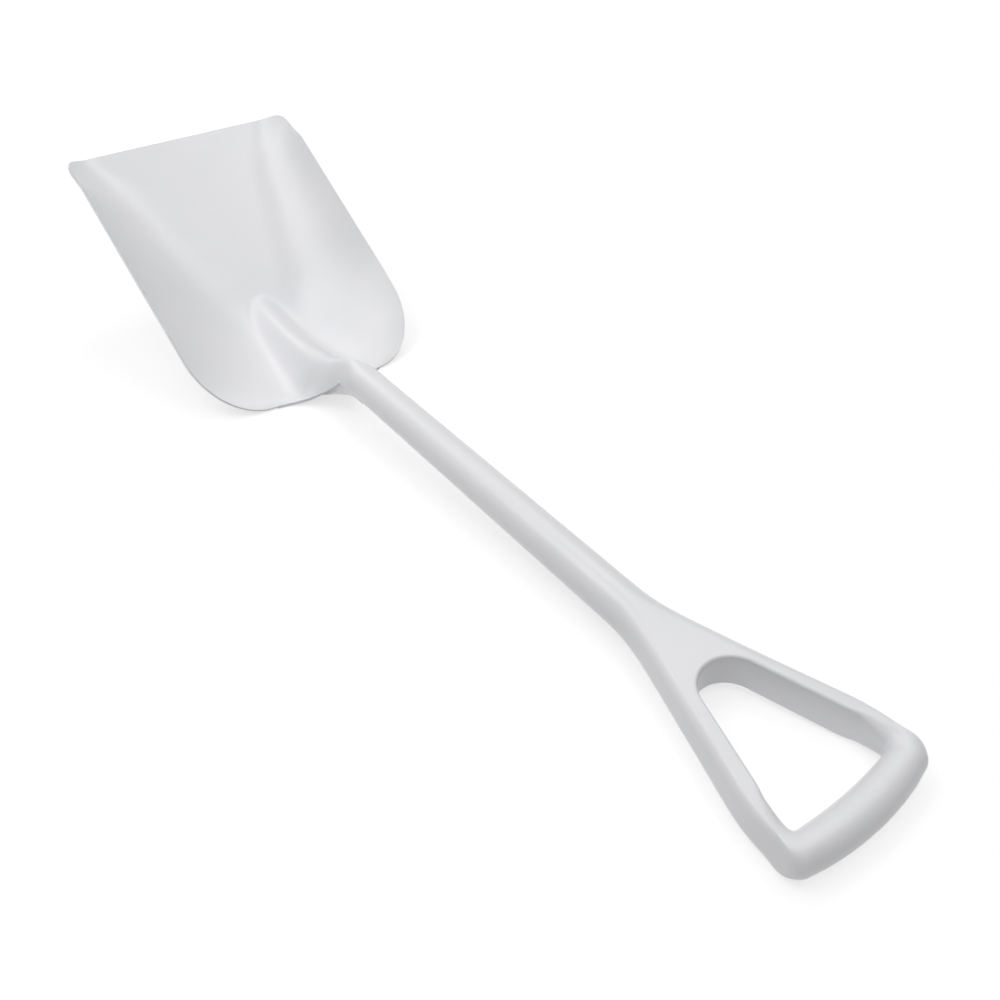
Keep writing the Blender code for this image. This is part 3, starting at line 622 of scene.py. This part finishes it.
def yoke_outline(n, h, g):
    """Matched points of the fork's outer edge, those of the web and those of one arm."""
    root = -n.sleeve - h.tube - HAIRLINE
    flare = flare_x(n, h, g)
    corner = (grip_outer_x(g.half_width, n, h, g), g.half_width)
    path = rounded_path(
        [
            (root, h.radius_back),
            (flare, h.radius_back),
            (flare - g.arm, g.knuckle_half),
            corner,
            (grip_outer_x(g.seam, n, h, g), g.seam),
        ],
        [g.flare_radius, g.knuckle_radius, g.corner],
    )
    to_corner, after_corner = split_at(path, corner)
    lean_x = flare - g.hole_back + g.lean
    lean_y = np.interp(-lean_x, -to_corner[:, 0], to_corner[:, 1])
    web, arm = split_at(spread(to_corner, OUTLINE_SAMPLES), (lean_x, lean_y))
    return spread(web, WEB_ROWS), np.concatenate([spread(arm, ARM_ROWS), spread(after_corner, CORNER_ROWS + 1)[1:]])


def hole_outline(n, h, g):
    """Points of the hand hole's edge from its apex to the seam, matched to those of the arm's outer edge."""
    flare = flare_x(n, h, g)
    corner = (flare - g.hole_end, g.hole_half)
    path = rounded_path(
        [
            (flare - g.hole_back, 0.0),
            (flare - g.hole_back, g.apex_half),
            (flare - g.hole_knuckle, g.hole_half),
            corner,
            (grip_inner_x(g.seam, n, h, g), g.seam),
        ],
        [g.apex_radius, g.hole_knuckle_radius, g.hole_corner],
    )
    to_corner, after_corner = split_at(path, corner)
    return np.concatenate([spread(to_corner, ARM_ROWS), spread(after_corner, CORNER_ROWS + 1)[1:]])


def quarter(edge, inward, depth, height, thickness):
    """A rounded edge for each row: from the side's straight part up a quarter ellipse to the top face."""
    angle = np.linspace(0.0, math.pi / 2, QUARTER_STEPS + 1)[None, :]
    place = edge[:, None, :] + inward[:, None, :] * (depth[:, None] * (1.0 - np.cos(angle)))[..., None]
    rise = thickness[:, None] - height[:, None] * (1.0 - np.sin(angle))
    return np.concatenate([place, rise[..., None]], axis=2)


def flat_between(first, last):
    """Points of a flat between two columns, close to its ends so that the rounding's shading stays on the edges."""
    return first[:, None] + (last - first)[:, None] * FLAT_SHARES[None, :, None]


def arm_rows(n, h, g):
    """Top half of one arm's sections, from the hole's apex round the corner to the seam: an outer quarter ellipse, a
    flat, and an inner quarter ellipse, which both grow to a full round at the cross bar."""
    outer = yoke_outline(n, h, g)[1]
    inner = hole_outline(n, h, g)
    share = np.concatenate([np.linspace(0.0, 1.0, ARM_ROWS), np.full(CORNER_ROWS, 1.0)])
    rounded = ease((share - ROUNDING_START) / (1.0 - ROUNDING_START))
    along = np.gradient(inner, axis=0)
    away = unit(np.stack([along[:, 1], -along[:, 0]], axis=1))
    away[0] = (1.0, 0.0)
    away[-1] = unit(outer[-1:] - inner[-1:])[0]
    full = (np.linalg.norm(outer - inner, axis=1) - g.flat) / 2
    thickness = blend(g.arm_half, g.grip_half, rounded)
    inner_depth = blend(g.inner_round, full, rounded)
    inner_height = blend(g.inner_round, g.grip_half, rounded)
    outer_depth = blend(g.outer_round, full, rounded)
    outer_height = blend(g.outer_round, g.grip_half, rounded)
    inner_top = inner + away * inner_depth[:, None]
    outer_side = quarter(outer, unit(inner_top - outer), outer_depth, outer_height, thickness)
    inner_side = quarter(inner, away, inner_depth, inner_height, thickness)
    flat = flat_between(outer_side[:, -1], inner_side[:, -1])
    return np.concatenate([outer_side, flat, inner_side[:, ::-1]], axis=1)


def web_rows(n, h, g):
    """Top half of the web's sections, from the round root to the hole's apex, out to the middle line: a quarter
    ellipse that starts as the root's quarter circle, and a flat."""
    root = -n.sleeve - h.tube - HAIRLINE
    outer = yoke_outline(n, h, g)[0]
    middle_x = np.linspace(root, flare_x(n, h, g) - g.hole_back + g.inner_round, WEB_ROWS)
    flat = ease((root - middle_x) / g.flattening)
    middle = np.stack([middle_x, np.zeros(WEB_ROWS)], axis=1)
    thickness = blend(h.radius_back, g.arm_half, flat)
    edge_round = blend(h.radius_back, g.outer_round, flat)
    outer_side = quarter(outer, unit(middle - outer), edge_round, edge_round, thickness)
    crown = np.concatenate([middle, thickness[:, None]], axis=1)
    return np.concatenate([outer_side, flat_between(outer_side[:, -1], crown), crown[:, None]], axis=1)


def to_circle(ring, centre, radius):
    """A ring of points drawn in to a circle about the centre."""
    return centre + unit(ring - centre) * radius


def bored_end(ring, centre, depth, radius):
    """An end face with a round socket: the ring drawn in to a circle about the centre, carried in by the depth and
    closed at its bottom."""
    centre = np.array(centre)
    depth = np.array(depth)
    mouth = to_circle(ring, centre, radius)
    bottom = np.broadcast_to(centre + depth, ring.shape)
    return np.stack([ring, mouth, mouth + depth, bottom])


def grip_axis_x(n, h, g):
    """Place of the grip's dowel: halfway between the bar's middles at its centre and at its seams."""
    centres = [(grip_outer_x(y, n, h, g) + grip_inner_x(y, n, h, g)) / 2 for y in (0.0, g.seam)]
    return sum(centres) / 2


def yoke_patches():
    """The fork: its top half, mirrored to both sides and below, with the web's side faces, a socket for the grip's
    dowel in each arm and one for the shaft's dowel in the root."""
    n, h, g = sizes()[1:]
    web = web_rows(n, h, g)
    arm = arm_rows(n, h, g)
    patches = []
    x = grip_axis_x(n, h, g)
    for side in (1.0, -1.0):
        over = np.array([1.0, side, 1.0])
        under = np.array([1.0, side, -1.0])
        ring = np.concatenate([arm * over, (arm * under)[:, ::-1]], axis=1)
        web_side = np.stack([web[:, 0] * over, web[:, 0] * under], axis=1)
        patches += [patch(web * over), patch(web * under), patch(web_side), patch(ring, closed=True)]
        depth = (0.0, side * g.dowel_seat, 0.0)
        socket = bored_end(ring[-1], (x, side * g.seam, 0.0), depth, g.dowel_radius + CAD_GAP)
        patches.append(patch(socket, closed=True))
    root = web[0]
    rim = np.concatenate([root, root[::-1] * (1, -1, 1), root * (1, -1, -1), root[::-1] * (1, 1, -1)])
    depth = (-h.dowel_hold - CAD_GAP, 0.0, 0.0)
    socket = bored_end(rim, (rim[0, 0], 0.0, 0.0), depth, h.radius_front - h.wall)
    patches.append(patch(socket, closed=True))
    return patches


def grip_patches():
    """The cross bar: sections across Y of four quarter ellipses between both parabolas, and its straight bore."""
    n, h, g = sizes()[1:]
    y = np.linspace(-1.0, 1.0, GRIP_ROWS + 1) * (g.seam - HAIRLINE)
    outer = np.stack([grip_outer_x(y, n, h, g), y], axis=1)
    inner = np.stack([grip_inner_x(y, n, h, g), y], axis=1)
    across = unit(inner - outer)
    depth = (np.linalg.norm(outer - inner, axis=1) - g.flat) / 2
    height = np.full(len(y), g.grip_half)
    outer_side = quarter(outer, across, depth, height, height)
    inner_side = quarter(inner, -across, depth, height, height)
    flat = flat_between(outer_side[:, -1], inner_side[:, -1])
    top = np.concatenate([outer_side, flat, inner_side[:, ::-1]], axis=1)
    ring = np.concatenate([top, (top * (1, 1, -1))[:, ::-1]], axis=1)
    x = grip_axis_x(n, h, g)
    bore = [to_circle(ring[row], np.array([x, y[row], 0.0]), g.dowel_radius + CAD_GAP) for row in (-1, 0)]
    return [patch(np.concatenate([ring, bore, ring[:1]]), closed=True)]


# Materials


def node(tree, kind, values=None, **settings):
    """A new node with its settings, and with values set on its input sockets, by name or number."""
    made = tree.nodes.new(kind)
    for name, value in settings.items():
        setattr(made, name, value)
    for name, value in (values or {}).items():
        made.inputs[name].default_value = value
    return made


def join(tree, source, output, target, socket):
    """A link between two nodes, with its sockets by name or number."""
    tree.links.new(source.outputs[output], target.inputs[socket])


def new_group(name, inputs, outputs):
    """An empty node group with named sockets, and its input and output nodes."""
    tree = bpy.data.node_groups.new(name, "ShaderNodeTree")
    for direction, sockets in (("INPUT", inputs), ("OUTPUT", outputs)):
        for label, kind in sockets.items():
            tree.interface.new_socket(label, in_out=direction, socket_type=kind)
    return tree, tree.nodes.new("NodeGroupInput"), tree.nodes.new("NodeGroupOutput")


def noise(tree, place, values):
    """A noise over the object's own space."""
    made = node(tree, "ShaderNodeTexNoise", values)
    join(tree, place, "Object", made, "Vector")
    return made


def mould_face_group():
    """The face that a polished mould leaves on plastic: broad faint drifts of tone, cloudy gloss, and a fine grain
    with a few shallow waves under it as a height."""
    tree, given, out = new_group(
        "Moulded face",
        {
            "White": "NodeSocketColor",
            "Drift": "NodeSocketColor",
            "Roughness": "NodeSocketFloat",
            "Grain Scale": "NodeSocketFloat",
        },
        {"Color": "NodeSocketColor", "Roughness": "NodeSocketFloat", "Height": "NodeSocketFloat"},
    )
    place = node(tree, "ShaderNodeTexCoord")
    cloud = noise(tree, place, {"Scale": 9.0, "Detail": 3.0, "Roughness": 0.55})
    drift = node(tree, "ShaderNodeMapRange", {"From Min": 0.35, "From Max": 0.70})
    join(tree, cloud, "Fac", drift, "Value")
    tone = node(tree, "ShaderNodeMix", data_type="RGBA")
    join(tree, drift, "Result", tone, "Factor")
    join(tree, given, "White", tone, MIX_A)
    join(tree, given, "Drift", tone, MIX_B)
    join(tree, tone, MIX_RESULT, out, "Color")
    gloss = noise(tree, place, {"Scale": 38.0, "Detail": 4.0, "Roughness": 0.6})
    gloss_range = node(tree, "ShaderNodeMapRange", {"To Min": -0.05, "To Max": 0.05})
    join(tree, gloss, "Fac", gloss_range, "Value")
    rough = node(tree, "ShaderNodeMath", operation="ADD", use_clamp=True)
    join(tree, given, "Roughness", rough, 0)
    join(tree, gloss_range, "Result", rough, 1)
    join(tree, rough, "Value", out, "Roughness")
    grain = noise(tree, place, {"Detail": 2.0, "Roughness": 0.6})
    join(tree, given, "Grain Scale", grain, "Scale")
    wave = noise(tree, place, {"Scale": 26.0, "Detail": 1.0})
    deep = node(tree, "ShaderNodeMath", {1: WAVE_HEIGHT}, operation="MULTIPLY_ADD")
    join(tree, wave, "Fac", deep, 0)
    join(tree, grain, "Fac", deep, 2)
    join(tree, deep, "Value", out, "Height")
    return tree


def moulded_plastic(name, white, drift, looks, bump):
    """Moulded plastic: the mould's face over a fine bump."""
    material = bpy.data.materials.get(name)
    if material:
        return material
    material = bpy.data.materials.new(name)
    material.use_nodes = True
    tree = material.node_tree
    shader = tree.nodes["Principled BSDF"]
    shader.inputs["IOR"].default_value = PLASTIC_IOR
    values = {
        "White": (*white, 1.0),
        "Drift": (*drift, 1.0),
        "Roughness": looks.roughness,
        "Grain Scale": 1.0 / looks.grain,
    }
    group = bpy.data.node_groups.get("Moulded face") or mould_face_group()
    face = node(tree, "ShaderNodeGroup", values, node_tree=group)
    join(tree, face, "Color", shader, "Base Color")
    join(tree, face, "Roughness", shader, "Roughness")
    relief = node(tree, "ShaderNodeBump", {"Strength": bump, "Distance": BUMP_DEPTH})
    join(tree, face, "Height", relief, "Height")
    join(tree, relief, "Normal", shader, "Normal")
    return material


def white_plastic():
    """The mouldings' plastic."""
    looks = bpy.context.scene.shovel_plastic
    return moulded_plastic("White moulded plastic", looks.white, looks.cool, looks, MOULDING_BUMP)


# Stage


def soft_box(name, turn, rise, watts, looks):
    """A square area lamp at a turn about Z from +X and a rise over the floor, which looks at the shovel's middle."""
    turn, rise = math.radians(turn), math.radians(rise)
    lamp = bpy.data.lights.new(name, "AREA")
    lamp.shape = "SQUARE"
    lamp.size = looks.lamp_size
    lamp.energy = watts
    flat = math.cos(rise)
    place = Vector((flat * math.cos(turn), flat * math.sin(turn), math.sin(rise))) * looks.lamp_distance
    made = add_object(name, lamp)
    made.location = place
    made.rotation_euler = place.to_track_quat("Z", "Y").to_euler()


def seen_rays(tree):
    """One for camera, glossy and transmission rays, and zero for the diffuse rays that light the shovel."""
    path = node(tree, "ShaderNodeLightPath")
    seen = node(tree, "ShaderNodeMath", operation="ADD", use_clamp=True)
    join(tree, path, "Is Camera Ray", seen, 0)
    join(tree, path, "Is Glossy Ray", seen, 1)
    total = node(tree, "ShaderNodeMath", operation="ADD", use_clamp=True)
    join(tree, seen, "Value", total, 0)
    join(tree, path, "Is Transmission Ray", total, 1)
    return total


def floor_material(looks):
    """A pale floor. Seen directly or mirrored it also glows, so that it is white and still shows the shadow."""
    material = bpy.data.materials.new("Pale floor")
    material.use_nodes = True
    tree = material.node_tree
    plain = tree.nodes["Principled BSDF"]
    plain.inputs["Base Color"].default_value = (*looks.floor, 1.0)
    plain.inputs["Roughness"].default_value = 0.9
    plain.inputs["Specular IOR Level"].default_value = 0.0
    shadowed = node(tree, "ShaderNodeBsdfDiffuse", {"Color": (*looks.shadow, 1.0)})
    place = node(tree, "ShaderNodeTexCoord")
    distance = node(tree, "ShaderNodeVectorMath", operation="LENGTH")
    join(tree, place, "Object", distance, 0)
    reach = {"From Min": looks.lit, "From Max": looks.unlit, "To Min": looks.glow, "To Max": 1.0}
    strength = node(tree, "ShaderNodeMapRange", reach)
    join(tree, distance, "Value", strength, "Value")
    glow = node(tree, "ShaderNodeEmission")
    join(tree, strength, "Result", glow, "Strength")
    white = node(tree, "ShaderNodeAddShader")
    join(tree, shadowed, "BSDF", white, 0)
    join(tree, glow, "Emission", white, 1)
    chosen = node(tree, "ShaderNodeMixShader")
    join(tree, seen_rays(tree), "Value", chosen, "Fac")
    join(tree, plain, "BSDF", chosen, 1)
    join(tree, white, "Shader", chosen, 2)
    join(tree, chosen, "Shader", tree.nodes["Material Output"], "Surface")
    return material


def white_floor(looks):
    """A square floor round the shovel."""
    side = looks.size
    corners = [(-side, -side, 0.0), (side, -side, 0.0), (side, side, 0.0), (-side, side, 0.0)]
    mesh = bpy.data.meshes.new("floor")
    mesh.from_pydata(corners, [], [(0, 1, 2, 3)])
    mesh.materials.append(floor_material(looks))
    floor = add_object("floor", mesh)


def white_surroundings(looks):
    """A world that is white where it is seen or mirrored, and faint as a light."""
    scene = bpy.context.scene
    world = scene.world or bpy.data.worlds.new("World")
    scene.world = world
    world.use_nodes = True
    tree = world.node_tree
    background = tree.nodes["Background"]
    background.inputs["Color"].default_value = (1.0, 1.0, 1.0, 1.0)
    strength = node(tree, "ShaderNodeMapRange", {"To Min": looks.world, "To Max": 1.0})
    join(tree, seen_rays(tree), "Value", strength, "Value")
    join(tree, strength, "Result", background, "Strength")


def photo_camera(looks):
    """The camera that the photo was taken with, as solved along the shovel's own axes."""
    view = bpy.data.cameras.new("camera")
    view.sensor_fit = "HORIZONTAL"
    view.sensor_width = SENSOR_WIDTH
    view.lens = looks.lens
    turn = Euler([math.radians(angle) for angle in CAMERA_TURN]).to_matrix().to_4x4()
    own = Matrix.Translation(CAMERA_PLACE) @ turn
    camera = add_object("camera", view)
    camera.matrix_world = shovel_axes() @ own
    bpy.context.scene.camera = camera


# Operators


class SHOVEL_OT_scoop(bpy.types.Operator):
    """Adds the scoop with its sleeve and ridge"""

    bl_idname = "shovel.scoop"
    bl_label = "Scoop"

    def execute(self, context):
        piece("scoop_shell", scoop_patches(), "scoop_blade")
        return {"FINISHED"}


class SHOVEL_OT_keel(bpy.types.Operator):
    """Adds the keel that closes the neck below"""

    bl_idname = "shovel.keel"
    bl_label = "Neck Keel"

    def execute(self, context):
        piece("neck_keel", keel_patches(), "neck_gusset")
        return {"FINISHED"}


class SHOVEL_OT_shaft(bpy.types.Operator):
    """Adds the round shaft"""

    bl_idname = "shovel.shaft"
    bl_label = "Shaft"

    def execute(self, context):
        piece("round_shaft", shaft_patches(), "shaft_tube")
        return {"FINISHED"}


class SHOVEL_OT_fork(bpy.types.Operator):
    """Adds the fork with its web and arms"""

    bl_idname = "shovel.fork"
    bl_label = "Fork"

    def execute(self, context):
        piece("grip_fork", yoke_patches(), "grip_yoke")
        return {"FINISHED"}


class SHOVEL_OT_cross_bar(bpy.types.Operator):
    """Adds the cross bar that the hand closes round"""

    bl_idname = "shovel.cross_bar"
    bl_label = "Cross Bar"

    def execute(self, context):
        piece("cross_bar", grip_patches(), "hand_grip")
        return {"FINISHED"}


class SHOVEL_OT_dowels(bpy.types.Operator):
    """Gives the three packed dowels their plastic"""

    bl_idname = "shovel.dowels"
    bl_label = "Dowels"

    def execute(self, context):
        looks = context.scene.shovel_plastic
        plastic = moulded_plastic("Dowel plastic", looks.dowel, looks.dowel, looks, DOWEL_BUMP)
        for name in ("neck_dowel", "yoke_dowel", "grip_dowel"):
            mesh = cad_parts[name].data
            mesh.materials.clear()
            mesh.materials.append(plastic)
        return {"FINISHED"}


class SHOVEL_OT_stage(bpy.types.Operator):
    """Adds the floor, the lamps, the surrounding light and the camera"""

    bl_idname = "shovel.stage"
    bl_label = "Stage"

    def execute(self, context):
        looks = context.scene.shovel_stage
        white_floor(looks)
        white_surroundings(looks)
        for name, (turn, rise, watts) in LAMPS.items():
            soft_box(name, turn, rise, watts, looks)
        photo_camera(looks)
        context.scene.view_settings.view_transform = "Standard"
        return {"FINISHED"}


PIECES = (
    SHOVEL_OT_scoop,
    SHOVEL_OT_keel,
    SHOVEL_OT_shaft,
    SHOVEL_OT_fork,
    SHOVEL_OT_cross_bar,
    SHOVEL_OT_dowels,
    SHOVEL_OT_stage,
)
GROUPS = {
    "shovel_scoop": ScoopSizes,
    "shovel_neck": NeckSizes,
    "shovel_shaft": ShaftSizes,
    "shovel_grip": GripSizes,
    "shovel_plastic": PlasticLooks,
    "shovel_stage": StageLooks,
}


class SHOVEL_PT_build(bpy.types.Panel):
    """The shovel's pieces, sizes and colours"""

    bl_idname = "SHOVEL_PT_build"
    bl_label = "Ice Shovel"
    bl_space_type = "VIEW_3D"
    bl_region_type = "UI"
    bl_category = "Ice Shovel"

    def draw(self, context):
        column = self.layout.column(align=True)
        for operator in PIECES:
            column.operator(operator.bl_idname)
        for name in GROUPS:
            box = self.layout.box()
            box.label(text=GROUPS[name].__doc__)
            group = getattr(context.scene, name)
            for key in GROUPS[name].__annotations__:
                box.prop(group, key)


def register():
    for name, group in GROUPS.items():
        bpy.utils.register_class(group)
        setattr(bpy.types.Scene, name, bpy.props.PointerProperty(type=group))
    for item in (*PIECES, SHOVEL_PT_build):
        bpy.utils.register_class(item)


def unregister():
    for item in (SHOVEL_PT_build, *reversed(PIECES)):
        bpy.utils.unregister_class(item)
    for name, group in reversed(GROUPS.items()):
        delattr(bpy.types.Scene, name)
        bpy.utils.unregister_class(group)


def main():
    register()
    bpy.ops.shovel.scoop()
    bpy.ops.shovel.keel()
    bpy.ops.shovel.shaft()
    bpy.ops.shovel.fork()
    bpy.ops.shovel.cross_bar()
    bpy.ops.shovel.dowels()
    bpy.ops.shovel.stage()


if __name__ == "__main__":
    main()
